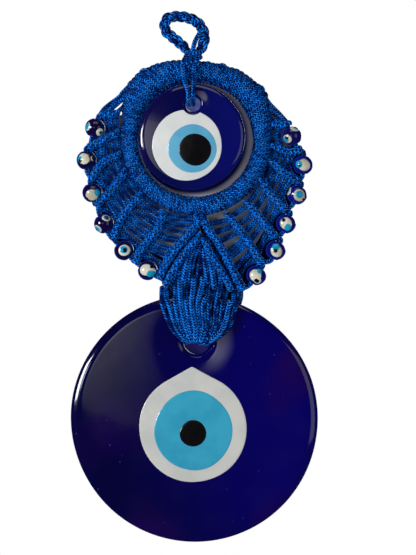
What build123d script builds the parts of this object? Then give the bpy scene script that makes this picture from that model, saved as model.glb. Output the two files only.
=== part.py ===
from build123d import *
import os
from math import asin, atan2, cos, degrees, hypot, pi, radians, sin, sqrt, tan

# Evil eye wall ornament. Millimetres, +Z up, the front faces -Y.
# The origin is the inside top of the hanging loop, where the nail or hook bears.
# Layout points below are (x, z) from the centre of the cord-wrapped ring.
RING_X = 8.0
RING_Z = -66.5

CORD_R = 1.35            # braided cord, 2.7 mm
THIN_R = 1.25            # the same cord where it is pulled tight
RIB_R = 2.1              # knotted bar of wraps over a filler cord
LOOP_R = 2.6             # knotted hanging loop

CORE_MAJOR = 37.5        # stiff ring inside the wrap
CORE_R = 2.5
WRAP_R = 5.4
TOP_WRAP_R = 2.6         # wrapped filler cord along the ring's upper edge, in two lengths
TOP_WRAP_ARCS = {"left": (47.4, 147, -39), "right": (45.8, 34, 30)}

BEAD_R = 5.6
BEAD_HALF_LENGTH = 4.95
BEAD_HOLE_R = 2.0
BEAD_RUN = 6.6           # straight cord on each side of a bead's centre

BIG_X, BIG_Z = -0.9, -157.9
BIG_R = 70.0
BIG_BACK = 4.5
BIG_CROWN = 4.5
BIG_EDGE = 3.2
BIG_HOLE_X, BIG_HOLE_Z = 0.3, -114.0
BIG_HOLE_R = 7.4
BIG_FLARE_R = 12.0       # outer radius of the rounded dimple round the hole
BIG_WHITE = (-1.7, -163.0, 30.4)
BIG_TIP = (-2.2, -128.2)
BIG_IRIS = (-1.4, -164.4, 22.4)
BIG_PUPIL = (-1.6, -165.9, 7.7)

SMALL_X, SMALL_Z, SMALL_Y = -2.3, 1.1, -7.0
SMALL_R = 29.8
SMALL_BACK = 3.0
SMALL_CROWN = 3.1
SMALL_EDGE = 2.2
SMALL_HOLE = (-1.6, 19.4)
SMALL_HOLE_R = 4.2
SMALL_FLARE_R = 6.0
SMALL_WHITE = (-5.0, -3.8, 19.7)
SMALL_IRIS = (-2.0, -5.7, 13.7)
SMALL_PUPIL = (-0.4, -6.3, 9.2)

HINGE_Z = -84.5          # where the gathered cords bend above the large disc
STRANDS = 6              # gathered strands on each side of the middle one
STRAND_PITCH = 3.55
GATHER_R = 1.22
STRAND_MIDDLE = 2.8
MOUTH_R = 12.0
MOUTH_END_R = 9.6
BUNDLE_R = 6.6
BUNDLE_LIP_R = 9.4

# Rib lines, from the ring outwards and downwards.
RIBS = {
    "left": [
        [(-43.4, 14.7), (-54.4, 14.2)],
        [(-43.4, 4.1), (-60.9, -4.4)],
        [(-42.6, -8.4), (-52.4, -12.6), (-59.2, -21.6)],
        [(-39.4, -18.2), (-55.9, -36.5)],
        [(-31.2, -31.4), (-40.1, -41.4), (-47.1, -56.4)],
        [(-18.2, -40.4), (-22.8, -51.4), (-31.2, -61.6), (-34.3, -68.9)],
        [(-0.6, -44.4), (0.2, -48.0), (-14.4, -65.7), (-20.8, -77.8)],
        [(2.2, -53.5), (-8.6, -67.0), (-17.2, -82.4)],
    ],
    "right": [
        [(43.4, 9.4), (52.6, 8.8)],
        [(43.4, -2.4), (51.8, -6.2), (59.0, -5.9)],
        [(42.4, -11.0), (48.0, -16.6), (57.8, -23.6)],
        [(37.6, -22.2), (42.1, -30.2), (50.7, -39.4)],
        [(28.6, -34.2), (44.1, -54.5)],
        [(17.4, -41.0), (25.7, -52.2), (36.5, -69.6)],
        [(4.6, -44.4), (6.0, -49.2), (13.4, -59.8), (20.3, -72.6), (25.4, -83.6)],
        [(5.6, -57.0), (8.7, -65.7), (16.3, -77.6), (19.2, -84.2)],
    ],
}

BEADS = {
    "left": [(-57.3, 6.7), (-62.1, -11.5), (-58.8, -29.9), (-52.2, -47.5), (-40.8, -62.7), (-27.4, -74.0)],
    "right": [(54.4, 2.2), (60.7, -14.1), (57.3, -31.1), (51.0, -47.5), (45.2, -62.6), (34.2, -76.8)],
}

# Where each edge cord leaves the ring's top wrap.
EDGE_START = {
    "left": [(-39.8, 25.7), (-43.4, 23.4), (-51.6, 19.2)],
    "right": [(38.0, 25.5), (41.4, 21.8), (47.6, 16.8)],
}

# Web cords between each rib and the next: their size, spacing and the groups they are kept in.
WEB_R = 1.2
WEB_PITCH = 3.1
WEB_GROUPS = {"upper": (0, 2), "middle": (2, 4), "lower": (4, 6)}
WEB_FROM = 0.12
WEB_TO = 0.86
BEAD_GAP = 0.45          # clear space round a bead
WEB_BOW = 0.05

os.makedirs("parts", exist_ok=True)


def at(point, y=0.0):
    """Point of the part's frame for a layout point and a depth."""
    return Vector(RING_X + point[0], y, RING_Z + point[1])


def save(piece, name):
    piece.label = name
    export_step(piece, f"parts/{name}.step")


def turn_at(before, corner, after):
    """Angle in degrees that a path turns through at a corner."""
    return (corner - before).get_angle(after - corner)


def cord_line(points):
    """Straight runs joined by tangent arcs, for the open BuildLine; near-straight corners are dropped."""
    kept = [points[0]]
    for i in range(1, len(points) - 1):
        if turn_at(kept[-1], points[i], points[i + 1]) > 2.5:
            kept.append(points[i])
    kept.append(points[-1])
    if len(kept) == 2:
        return Line(kept[0], kept[1])
    bends = []
    for i in range(1, len(kept) - 1):
        shorter = min((kept[i] - kept[i - 1]).length, (kept[i + 1] - kept[i]).length)
        half_turn = radians(turn_at(kept[i - 1], kept[i], kept[i + 1])) / 2
        bends.append(0.45 * shorter / tan(half_turn))
    return FilletPolyline(*kept, radius=bends)


def add_cord(points, radius):
    """Adds a round cord along the points to the open BuildPart."""
    with BuildLine() as path:
        cord_line(points)
    with BuildSketch(Plane(origin=path.line @ 0, z_dir=path.line % 0)) as section:
        Circle(radius)
    sweep(section.sketch, path=path.line)


def add_bowed_cord(start, middle, end, radius):
    """Adds a round cord along one shallow arc to the open BuildPart."""
    with BuildLine() as path:
        ThreePointArc(start, middle, end)
    with BuildSketch(Plane(origin=path.line @ 0, z_dir=path.line % 0)) as section:
        Circle(radius)
    sweep(section.sketch, path=path.line)


def line_length(points):
    return sum(hypot(b[0] - a[0], b[1] - a[1]) for a, b in zip(points, points[1:]))


def point_along(points, fraction):
    """Layout point at a fraction of the length of a run of straight lines."""
    runs = [hypot(b[0] - a[0], b[1] - a[1]) for a, b in zip(points, points[1:])]
    left = fraction * line_length(points)
    for a, b, run in zip(points, points[1:], runs):
        if left <= run or b == points[-1]:
            share = left / run
            return (a[0] + (b[0] - a[0]) * share, a[1] + (b[1] - a[1]) * share)
        left -= run


# ---------------------------------------------------------------- hanging loop and its knot

loop_points = [
    (-5.0, 50.6),
    (-8.6, 55.0),
    (-19.4, 62.4),
    (-15.6, 69.8),
    (0.4, 68.4),
    (6.8, 58.6),
    (3.4, 50.6),
]
with BuildPart() as hanging_loop:
    add_cord([at(p) for p in loop_points], LOOP_R)
save(hanging_loop.part, "hanging_loop")

with BuildPart() as loop_inner_strand:
    add_cord([at((2.2, 61.6), -0.6), at((-0.2, 57.4), -0.9), at((-0.8, 51.6), -0.3)], THIN_R)
save(loop_inner_strand.part, "loop_inner_strand")

# The two legs of the loop, where they bend into the knot.
with BuildPart() as loop_base_cords:
    for top_x, bottom_x in ((-4.6, -3.0), (3.0, 1.6)):
        add_cord([at((top_x, 49.7)), at((bottom_x, 47.5))], THIN_R)
save(loop_base_cords.part, "loop_base_cords")

with BuildPart() as loop_knot:
    with BuildSketch(Plane(origin=at((-0.8, 45.6)), x_dir=(1, 0, 0), z_dir=(0, -1, 0))):
        SlotOverall(12.4, 4.0)
    extrude(amount=2.9, both=True)
    fillet(loop_knot.edges(), 1.2)
save(loop_knot.part, "loop_knot")


# ---------------------------------------------------------------- ring

ring_plane = Plane(origin=at((0, 0)), x_dir=(1, 0, 0), z_dir=(0, -1, 0))

with BuildPart(ring_plane) as ring_core:
    Torus(CORE_MAJOR, CORE_R)
save(ring_core.part, "ring_core")

with BuildPart(ring_plane) as ring_wrap:
    Torus(CORE_MAJOR, WRAP_R)
    Torus(CORE_MAJOR, CORE_R, mode=Mode.SUBTRACT)
save(ring_wrap.part, "ring_wrap")

# The wrapped filler cord along the ring's upper edge, left and right of the loop's knot.
with BuildPart() as ring_top_wrap:
    for radius, start_angle, sweep_angle in TOP_WRAP_ARCS.values():
        with BuildLine(ring_plane) as ridge:
            CenterArc((0, 0), radius, start_angle, sweep_angle)
        with BuildSketch(Plane(origin=ridge.line @ 0, z_dir=ridge.line % 0)) as section:
            Circle(TOP_WRAP_R)
        sweep(section.sketch, path=ridge.line)
save(ring_top_wrap.part, "ring_top_wrap")


# ---------------------------------------------------------------- ribs, webs and edge cords

def bead_distance(side, point):
    """Distance in the ornament's plane from a layout point to the nearest bead's centre."""
    return min(hypot(point[0] - bead[0], point[1] - bead[1]) for bead in BEADS[side])


def clear_of_beads(side, line):
    """The same rib line, cut back at its outer end until the rib clears the beads beside it."""
    reach = line_length(line)
    left = reach
    while bead_distance(side, point_along(line, left / reach)) < BEAD_R + RIB_R + BEAD_GAP:
        left -= 0.1
    travelled = 0
    kept = [line[0]]
    for a, b in zip(line, line[1:]):
        travelled += hypot(b[0] - a[0], b[1] - a[1])
        if travelled < left - 1.0:
            kept.append(b)
    kept.append(point_along(line, left / reach))
    return kept


for side, ribs in RIBS.items():
    for number, line in enumerate(ribs, start=1):
        with BuildPart() as rib:
            add_cord([at(p) for p in clear_of_beads(side, line)], RIB_R)
        save(rib.part, f"rib_{side}_{number}")


def web_arc(upper, lower, share):
    """Start, middle and end of a web cord between two neighbouring ribs, just inside their surfaces."""
    start = at(point_along(upper, share))
    end = at(point_along(lower, share))
    along = (end - start).normalized() * (RIB_R - 0.4)
    middle = (start + end) * 0.5
    outward = (middle - at((0, 0))).normalized()
    bow = outward * (WEB_BOW * (end - start).length)
    return start + along, middle + bow, end - along


def outer_share(upper, lower, bead):
    """Share of the ribs' length where the outermost web cord just clears the bead beside it."""
    share = WEB_TO
    nearest = 0
    while nearest < BEAD_R + WEB_R + BEAD_GAP:
        share -= 0.01
        start, middle, end = web_arc(upper, lower, share)
        samples = [start + (middle - start) * (k / 8) for k in range(9)]
        samples += [middle + (end - middle) * (k / 8) for k in range(9)]
        nearest = min((p - at(bead)).length for p in samples)
    return share


for side, ribs in RIBS.items():
    for group, (first, last) in WEB_GROUPS.items():
        with BuildPart() as web:
            for gap in range(first, last):
                limit = outer_share(ribs[gap], ribs[gap + 1], BEADS[side][gap])
                shorter = min(line_length(ribs[gap]), line_length(ribs[gap + 1]))
                pitches = max(1, int((limit - WEB_FROM) * shorter / WEB_PITCH))
                for cord in range(pitches + 1):
                    share = WEB_FROM + (limit - WEB_FROM) * cord / pitches
                    add_bowed_cord(*web_arc(ribs[gap], ribs[gap + 1], share), WEB_R)
        save(web.part, f"web_{side}_{group}")


def bead_direction(side, number):
    """Direction of the edge cord through a bead: along the line between the two rib ends beside it."""
    return (at(RIBS[side][number + 1][-1]) - at(RIBS[side][number][-1])).normalized()


for side, beads in BEADS.items():
    route = [at(p) for p in EDGE_START[side]]
    route.append(at(RIBS[side][0][-1]))
    for number, centre in enumerate(beads):
        along = bead_direction(side, number) * BEAD_RUN
        route.append(at(centre) - along)
        route.append(at(centre) + along)
        route.append(at(RIBS[side][number + 1][-1]))
    with BuildPart() as edge_cord:
        add_cord(route, CORD_R)
    save(edge_cord.part, f"edge_cord_{side}")

for side, beads in BEADS.items():
    for number, centre in enumerate(beads):
        along = bead_direction(side, number)
        with BuildPart(Plane(origin=at(centre), z_dir=along)) as bead:
            Sphere(BEAD_R)
            Cylinder(BEAD_R + 1, 2 * BEAD_HALF_LENGTH, mode=Mode.INTERSECT)
            Cylinder(BEAD_HOLE_R, 3 * BEAD_R, mode=Mode.SUBTRACT)
        save(bead.part, f"bead_{side}_{number + 1}")


# ---------------------------------------------------------------- glass discs

def add_dome(centre, radius, back, edge, crown):
    """Adds a disc with a flat back, a round rim and a slightly domed front to the open BuildPart."""
    rim = 0.9 * back
    reach, drop = radius - rim, crown - edge
    ball = (reach * reach + drop * drop) / (2 * drop)
    middle_drop = ball - sqrt(ball * ball - reach * reach / 4)
    with BuildSketch(Plane(origin=centre, x_dir=(1, 0, 0), z_dir=(0, 0, 1))) as half:
        with BuildLine():
            Line((0, back), (radius - rim, back))
            ThreePointArc((radius - rim, back), (radius, (back - edge) / 2), (radius - rim, -edge))
            ThreePointArc((reach, -edge), (reach / 2, middle_drop - crown), (0, -crown))
            Line((0, -crown), (0, back))
        make_face()
    revolve(half.sketch, axis=Axis(centre, (0, 1, 0)))


def front_plane(y):
    """Plane at a depth, facing the front, with the ring's centre as its origin."""
    return Plane(origin=at((0, 0), y), x_dir=(1, 0, 0), z_dir=(0, -1, 0))


def add_circle(circle, y, mode):
    """Extrudes a circle forward from a depth, to cut or keep a glass layer."""
    with BuildSketch(front_plane(y)) as face:
        with Locations((circle[0], circle[1])):
            Circle(circle[2])
    extrude(face.sketch, amount=14, mode=mode)


def add_teardrop(circle, tip, y, mode):
    """Extrudes a circle with a pointed top forward from a depth."""
    reach = hypot(tip[0] - circle[0], tip[1] - circle[1])
    lean = atan2(tip[1] - circle[1], tip[0] - circle[0])
    spread = pi / 2 - asin(circle[2] / reach)
    touch = [
        (circle[0] + circle[2] * cos(lean + s * spread), circle[1] + circle[2] * sin(lean + s * spread))
        for s in (-1, 1)
    ]
    with BuildSketch(front_plane(y)) as face:
        with Locations((circle[0], circle[1])):
            Circle(circle[2])
        with BuildLine():
            Polyline(tip, touch[0], (circle[0], circle[1]), touch[1], close=True)
        make_face()
    extrude(face.sketch, amount=14, mode=mode)


def cut_flared_hole(centre, radius, flare, half):
    """Cuts a hole with rounded mouths through the open BuildPart, along Y."""
    neck = half * 0.2
    bulge = radius + (flare - radius) * 0.27
    with BuildSketch(Plane(origin=centre, x_dir=(1, 0, 0), z_dir=(0, 0, 1))) as half_hole:
        with BuildLine():
            Polyline((radius, neck), (radius, -neck))
            ThreePointArc((radius, -neck), (bulge, -half * 0.8), (flare, -half - 0.2))
            Polyline((flare, -half - 0.2), (flare, -3 * half), (0, -3 * half), (0, 3 * half), (flare, 3 * half))
            Line((flare, 3 * half), (flare, half + 0.2))
            ThreePointArc((flare, half + 0.2), (bulge, half * 0.8), (radius, neck))
        make_face()
    revolve(half_hole.sketch, axis=Axis(centre, (0, 1, 0)), mode=Mode.SUBTRACT)


big_centre = at((BIG_X, BIG_Z))
WHITE_BED, IRIS_BED, PUPIL_BED = -2.8, -3.5, -4.1

with BuildPart() as large_disc_glass:
    add_dome(big_centre, BIG_R, BIG_BACK, BIG_EDGE, BIG_CROWN)
    add_teardrop(BIG_WHITE, BIG_TIP, WHITE_BED, Mode.SUBTRACT)
    cut_flared_hole(at((BIG_HOLE_X, BIG_HOLE_Z)), BIG_HOLE_R, BIG_FLARE_R, BIG_CROWN)
save(large_disc_glass.part, "large_disc_glass")

with BuildPart() as large_disc_white:
    add_dome(big_centre, BIG_R, BIG_BACK, BIG_EDGE, BIG_CROWN + 0.3)
    add_teardrop(BIG_WHITE, BIG_TIP, WHITE_BED, Mode.INTERSECT)
    add_circle(BIG_IRIS, IRIS_BED, Mode.SUBTRACT)
save(large_disc_white.part, "large_disc_white")

with BuildPart() as large_disc_iris:
    add_dome(big_centre, BIG_R, BIG_BACK, BIG_EDGE, BIG_CROWN + 0.55)
    add_circle(BIG_IRIS, IRIS_BED, Mode.INTERSECT)
    add_circle(BIG_PUPIL, PUPIL_BED, Mode.SUBTRACT)
save(large_disc_iris.part, "large_disc_iris")

with BuildPart() as large_disc_pupil:
    add_dome(big_centre, BIG_R, BIG_BACK, BIG_EDGE, BIG_CROWN + 0.8)
    add_circle(BIG_PUPIL, PUPIL_BED, Mode.INTERSECT)
save(large_disc_pupil.part, "large_disc_pupil")

small_centre = at((SMALL_X, SMALL_Z), SMALL_Y)
hole_clear = (SMALL_HOLE[0], SMALL_HOLE[1], SMALL_FLARE_R + 0.2)

with BuildPart() as small_disc_glass:
    add_dome(small_centre, SMALL_R, SMALL_BACK, SMALL_EDGE, SMALL_CROWN)
    cut_flared_hole(at(SMALL_HOLE, SMALL_Y), SMALL_HOLE_R, SMALL_FLARE_R, SMALL_CROWN)
    with BuildSketch(front_plane(SMALL_Y - 1.7)):
        with Locations((SMALL_WHITE[0], SMALL_WHITE[1])):
            Circle(SMALL_WHITE[2])
        with Locations((hole_clear[0], hole_clear[1])):
            Circle(hole_clear[2], mode=Mode.SUBTRACT)
    extrude(amount=14, mode=Mode.SUBTRACT)
save(small_disc_glass.part, "small_disc_glass")

with BuildPart() as small_disc_white:
    add_dome(small_centre, SMALL_R, SMALL_BACK, SMALL_EDGE, SMALL_CROWN + 0.25)
    add_circle(SMALL_WHITE, SMALL_Y - 1.7, Mode.INTERSECT)
    add_circle(hole_clear, SMALL_Y + 1, Mode.SUBTRACT)
    add_circle(SMALL_IRIS, SMALL_Y - 2.2, Mode.SUBTRACT)
save(small_disc_white.part, "small_disc_white")

with BuildPart() as small_disc_iris:
    add_dome(small_centre, SMALL_R, SMALL_BACK, SMALL_EDGE, SMALL_CROWN + 0.45)
    add_circle(SMALL_IRIS, SMALL_Y - 2.2, Mode.INTERSECT)
    add_circle(SMALL_PUPIL, SMALL_Y - 2.7, Mode.SUBTRACT)
save(small_disc_iris.part, "small_disc_iris")

with BuildPart() as small_disc_pupil:
    add_dome(small_centre, SMALL_R, SMALL_BACK, SMALL_EDGE, SMALL_CROWN + 0.65)
    add_circle(SMALL_PUPIL, SMALL_Y - 2.7, Mode.INTERSECT)
save(small_disc_pupil.part, "small_disc_pupil")

# Two strands: down in front of the ring, through the disc's hole, up behind it and up behind the ring.
with BuildPart() as small_disc_strands:
    for top_x, hole_x in ((-6.6, -3.6), (-0.4, -1.0)):
        strand = [
            at((top_x, 42.4), -8.2),
            at(((top_x + hole_x) / 2, 33.6), -9.2),
            at((hole_x, 26.4), SMALL_Y - SMALL_CROWN - 2.1),
            at((hole_x, 19.8), SMALL_Y - SMALL_CROWN - 2.0),
            at((hole_x, 19.8), SMALL_Y + SMALL_BACK + 1.9),
            at((hole_x, 28.4), SMALL_Y + SMALL_BACK + 2.1),
            at((hole_x, 31.3), 5.6),
            at((hole_x, 38.0), 7.3),
        ]
        add_cord(strand, THIN_R)
save(small_disc_strands.part, "small_disc_strands")


# ---------------------------------------------------------------- gathered cords at the large disc

def strand_x(i):
    return STRAND_MIDDLE + STRAND_PITCH * i


def strand_path(i, side):
    """One gathered strand from above the disc's rim to the mouth of its hole; side is -1 front, 1 back."""
    swing = radians(90 - i * 98 / STRANDS)
    mouth = (BIG_HOLE_X + MOUTH_R * cos(swing), BIG_HOLE_Z + MOUTH_R * sin(swing))
    end = (BIG_HOLE_X + MOUTH_END_R * cos(swing), BIG_HOLE_Z + MOUTH_END_R * sin(swing))
    shoulder = (strand_x(i) * 0.97, -93.0 - abs(i) * 0.9)
    off = 0.8 if side > 0 else 0.0
    return [
        at((strand_x(i), HINGE_Z - 1.8), side * (3.0 + off)),
        at(shoulder, side * (6.3 + off)),
        at(mouth, side * (6.1 + off)),
        at(end, side * (5.2 + off)),
    ]


for name, side in (("gather_front", -1), ("gather_back", 1)):
    with BuildPart() as gather:
        for i in range(-STRANDS, STRANDS + 1):
            add_cord(strand_path(i, side), GATHER_R)
    save(gather.part, name)

# The cords pass through the hole squeezed into one bundle that fills its upper part.
with BuildPart() as gather_bundle:
    for radius, near, depth in ((BUNDLE_R, 6.0, 12.0), (BUNDLE_LIP_R, 7.2, 2.5), (BUNDLE_LIP_R, -4.5, 2.5)):
        with BuildSketch(front_plane(near)):
            with Locations((BIG_HOLE_X, BIG_HOLE_Z)):
                Circle(radius)
            with Locations((BIG_HOLE_X, BIG_HOLE_Z - 2.4 - 10.0)):
                Rectangle(40, 20, mode=Mode.SUBTRACT)
        extrude(amount=depth)
save(gather_bundle.part, "gather_bundle")

# Where those cords bend when the disc swings, above its top rim.
with BuildPart() as gather_bend:
    for i in range(-STRANDS, STRANDS + 1):
        for side in (-1, 1):
            lower = at((strand_x(i), HINGE_Z - 0.9), side * 2.8)
            upper = at((strand_x(i), HINGE_Z + 2.4), side * 1.5)
            add_cord([lower, upper], THIN_R)
save(gather_bend.part, "gather_bend")


def rib_height(line, x):
    """Height of a rib line above a given x."""
    for a, b in zip(line, line[1:]):
        if min(a[0], b[0]) <= x <= max(a[0], b[0]):
            return a[1] + (b[1] - a[1]) * (x - a[0]) / (b[0] - a[0])


# Short cords that hang from the last two ribs inside the V.
with BuildPart() as gather_drops:
    for i in range(-STRANDS, STRANDS + 1):
        top_x = STRAND_MIDDLE + 1.1 + 0.8 * STRAND_PITCH * i
        top_z = rib_height(RIBS["left"][7], top_x) if top_x < 3.9 else rib_height(RIBS["right"][7], top_x)
        if top_z is None or top_z < HINGE_Z + 9.0:
            continue
        add_cord([at((top_x, top_z - 3.6), 0.6), at((strand_x(i), HINGE_Z + 3.0), 1.5)], THIN_R)
save(gather_drops.part, "gather_drops")
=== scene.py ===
import math
from collections import namedtuple

import bpy
import numpy as np
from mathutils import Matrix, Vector


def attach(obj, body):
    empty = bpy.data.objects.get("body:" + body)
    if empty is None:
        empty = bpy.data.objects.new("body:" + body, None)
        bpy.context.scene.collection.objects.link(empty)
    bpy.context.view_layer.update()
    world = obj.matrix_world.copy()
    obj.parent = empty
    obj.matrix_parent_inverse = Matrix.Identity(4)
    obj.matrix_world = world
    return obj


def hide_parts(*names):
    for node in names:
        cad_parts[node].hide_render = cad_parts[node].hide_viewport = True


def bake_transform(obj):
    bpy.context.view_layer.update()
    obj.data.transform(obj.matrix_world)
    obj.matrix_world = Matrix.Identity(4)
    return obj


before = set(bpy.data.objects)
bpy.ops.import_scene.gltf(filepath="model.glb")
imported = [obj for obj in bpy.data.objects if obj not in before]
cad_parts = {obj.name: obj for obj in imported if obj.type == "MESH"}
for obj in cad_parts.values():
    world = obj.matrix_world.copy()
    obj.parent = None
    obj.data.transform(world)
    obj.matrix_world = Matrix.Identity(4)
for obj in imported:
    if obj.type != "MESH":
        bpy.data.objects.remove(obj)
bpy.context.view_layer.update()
rng = np.random.default_rng(7)

# Layout points are (x, z) in millimetres from the centre of the cord-wrapped ring, as in the CAD.
RING_X, RING_Z = 8.0, -66.5
CORD_R = 1.35
CORD_STEP = 0.45
BRAID_PITCH = 1.55
BRAID_COLUMNS = 4
BRAID_SLANT = 1.2
BRAID_VALLEY = 0.25
MM = 0.001
NO_CORNER = -1


def at(x, z, y=0.0):
    """Frame point in millimetres for a layout point and a depth."""
    return np.array([RING_X + x, y, RING_Z + z])


# ---------------------------------------------------------------- swept cords

def smooth(points, step):
    """Points evenly spaced by step along a smooth curve through the given points."""
    p = np.asarray(points, float)
    if len(p) == 2:
        count = max(2, int(np.linalg.norm(p[1] - p[0]) / step) + 1)
        return p[0] + (p[1] - p[0]) * np.linspace(0, 1, count)[:, None]
    ends = np.vstack([2 * p[0] - p[1], p, 2 * p[-1] - p[-2]])
    line = []
    t = np.linspace(0, 1, 24, endpoint=False)[:, None]
    for i in range(len(p) - 1):
        a, b, c, d = ends[i : i + 4]
        line.append(
            0.5 * (2 * b + (c - a) * t + (2 * a - 5 * b + 4 * c - d) * t**2 + (3 * b - a - 3 * c + d) * t**3)
        )
    return even(np.vstack(line + [p[-1:]]), step)


def even(line, step):
    """The same line with its points evenly spaced by about step."""
    runs = np.linalg.norm(np.diff(line, axis=0), axis=1)
    length = np.concatenate([[0], np.cumsum(runs)])
    count = max(3, int(round(length[-1] / step)) + 1)
    wanted = np.linspace(0, length[-1], count)
    return np.stack([np.interp(wanted, length, line[:, k]) for k in range(3)], axis=1)


def frames(line):
    """Tangent and two normals at each point, from the front and turning as little as possible."""
    tangent = np.gradient(line, axis=0)
    tangent /= np.linalg.norm(tangent, axis=1)[:, None]
    normal = np.zeros_like(line)
    first = np.array((0, -1, 0), float)
    first -= tangent[0] * (first @ tangent[0])
    if np.linalg.norm(first) < 1e-3:
        first = np.cross(tangent[0], (1.0, 0.0, 0.0))
    normal[0] = first / np.linalg.norm(first)
    for i in range(1, len(line)):
        n = normal[i - 1] - tangent[i] * (normal[i - 1] @ tangent[i])
        normal[i] = n / np.linalg.norm(n)
    return tangent, normal, np.cross(tangent, normal)


def weave(length, turn):
    """Height from 0 to 1 of the braid's stitches at a length in millimetres and a share of a turn."""
    fold = np.abs((turn * BRAID_COLUMNS) % 2 - 1)
    stitch = np.abs(np.sin(np.pi * (length / BRAID_PITCH + BRAID_SLANT * fold)))
    valley = np.abs(np.sin(np.pi * turn * BRAID_COLUMNS))
    return stitch * (1 - BRAID_VALLEY + BRAID_VALLEY * valley)


def ring_faces(rows, sides, closed=False):
    """Quads between rows of points that each go once round."""
    i = np.arange(rows if closed else rows - 1)[:, None] * sides
    ahead = (i + sides) % (rows * sides)
    j = np.arange(sides)[None, :]
    k = (j + 1) % sides
    return np.stack([i + j, i + k, ahead + k, ahead + j], axis=-1).reshape(-1, 4)


def show_mesh(mesh, material):
    """A new object that shows the mesh in one material."""
    obj = bpy.data.objects.new(mesh.name, mesh)
    bpy.context.scene.collection.objects.link(obj)
    mesh.materials.append(material)
    return obj


def make_mesh(name, verts, faces, material, smooth_shading=True):
    """A piece from points in millimetres and faces."""
    mesh = bpy.data.meshes.new(name)
    mesh.from_pydata([tuple(v) for v in np.asarray(verts) * MM], [], [tuple(f) for f in faces])
    mesh.polygons.foreach_set("use_smooth", [smooth_shading] * len(mesh.polygons))
    mesh.validate()
    return show_mesh(mesh, material)


class Cords:
    """Collects swept cords into one mesh with a braid UV map and a tone for each cord, which also carries
    painted shade and painted light.
    """

    def __init__(self):
        self.points, self.faces, self.uvs, self.tones = [], [], [], []
        self.count = 0

    def sweep(self, line, radius, side_radius=None, sides=12, normals=None, braid=0.1, tone=None, repeats=1):
        """Sweeps a round or oval cord along an evenly spaced line.

        The radius is along the normal, and braid is the stitches' depth as a share of it. BRAID_COLUMNS
        stitches go round as many times as repeats says. Tone is one value or one for each point, random where
        none is given; low tones are used as painted shade and high ones as painted light.
        """
        tangent, n, b = frames(line)
        if normals is not None:
            n = normals - tangent * np.sum(normals * tangent, axis=1)[:, None]
            n /= np.linalg.norm(n, axis=1)[:, None]
            b = np.cross(tangent, n)
        across = radius if side_radius is None else side_radius
        steps = np.linalg.norm(np.diff(line, axis=0), axis=1)
        length = np.concatenate([[0], np.cumsum(steps)]) + rng.uniform(0, 5)
        turn = np.arange(sides) / sides
        angle = 2 * np.pi * turn
        height = 1 - braid + braid * weave(length[:, None], turn[None, :] * repeats)
        out_n = np.cos(angle)[None, :] * height * np.reshape(radius, (-1, 1))
        out_b = np.sin(angle)[None, :] * height * np.reshape(across, (-1, 1))
        co = line[:, None, :] + out_n[..., None] * n[:, None, :] + out_b[..., None] * b[:, None, :]
        rows = len(line)
        round_uv = np.arange(sides + 1) / sides * repeats
        uv = np.stack(np.broadcast_arrays(length[:, None], round_uv[None, :]), axis=-1)
        uv = np.stack([uv[:-1, :-1], uv[:-1, 1:], uv[1:, 1:], uv[1:, :-1]], axis=2).reshape(-1, 4, 2)
        caps, cap_uv = [], []
        first, last, end = rows * sides, rows * sides + 1, (rows - 1) * sides
        for s in range(sides):
            nxt = (s + 1) % sides
            caps += [(first, nxt, s, NO_CORNER), (last, end + s, end + nxt, NO_CORNER)]
            cap_uv += [[[length[0], s / sides]] * 4, [[length[-1], s / sides]] * 4]
        faces = np.vstack([ring_faces(rows, sides), caps])
        value = np.broadcast_to(rng.uniform(0, 1) if tone is None else tone, rows)
        self.points.append(np.vstack([co.reshape(-1, 3), line[:1], line[-1:]]))
        self.faces.append(np.where(faces == NO_CORNER, faces, faces + self.count))
        self.uvs.append(np.vstack([uv, cap_uv]))
        self.tones.append(np.concatenate([np.repeat(value, sides), value[:1], value[-1:]]))
        self.count += last + 1

    def cord(self, points, radius=CORD_R, **settings):
        """Sweeps a cord along a smooth curve through the points."""
        self.sweep(smooth(points, CORD_STEP), radius, **settings)

    def build(self, name, body=None, *nodes):
        """Makes the piece, of which a body's piece rides on it and stands for those CAD nodes."""
        co = np.vstack(self.points) * MM
        faces = np.vstack(self.faces)
        triangle = faces[:, 3] == NO_CORNER
        sizes = np.where(triangle, 3, 4)
        keep = faces != NO_CORNER
        mesh = bpy.data.meshes.new(name)
        mesh.vertices.add(len(co))
        mesh.vertices.foreach_set("co", co.astype(np.float32).ravel())
        mesh.loops.add(int(sizes.sum()))
        mesh.loops.foreach_set("vertex_index", faces[keep].astype(np.int32))
        mesh.polygons.add(len(faces))
        starts = np.concatenate([[0], np.cumsum(sizes)[:-1]])
        mesh.polygons.foreach_set("loop_start", starts.astype(np.int32))
        mesh.polygons.foreach_set("loop_total", sizes.astype(np.int32))
        mesh.update(calc_edges=True)
        layer = mesh.uv_layers.new(name="braid")
        layer.data.foreach_set("uv", np.vstack(self.uvs)[keep].astype(np.float32).ravel())
        tone = mesh.attributes.new("tone", "FLOAT", "POINT")
        tone.data.foreach_set("value", np.concatenate(self.tones).astype(np.float32))
        mesh.polygons.foreach_set("use_smooth", np.ones(len(faces), bool))
        mesh.validate()
        piece = show_mesh(mesh, CORD)
        if body:
            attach(piece, body)
        if nodes:
            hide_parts(*nodes)
        return piece


# ---------------------------------------------------------------- materials

def srgb(r, g, b):
    """Linear colour for 0 to 255 display values."""
    def linear(v):
        v /= 255
        return v / 12.92 if v <= 0.04045 else ((v + 0.055) / 1.055) ** 2.4
    return (linear(r), linear(g), linear(b), 1.0)


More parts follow.
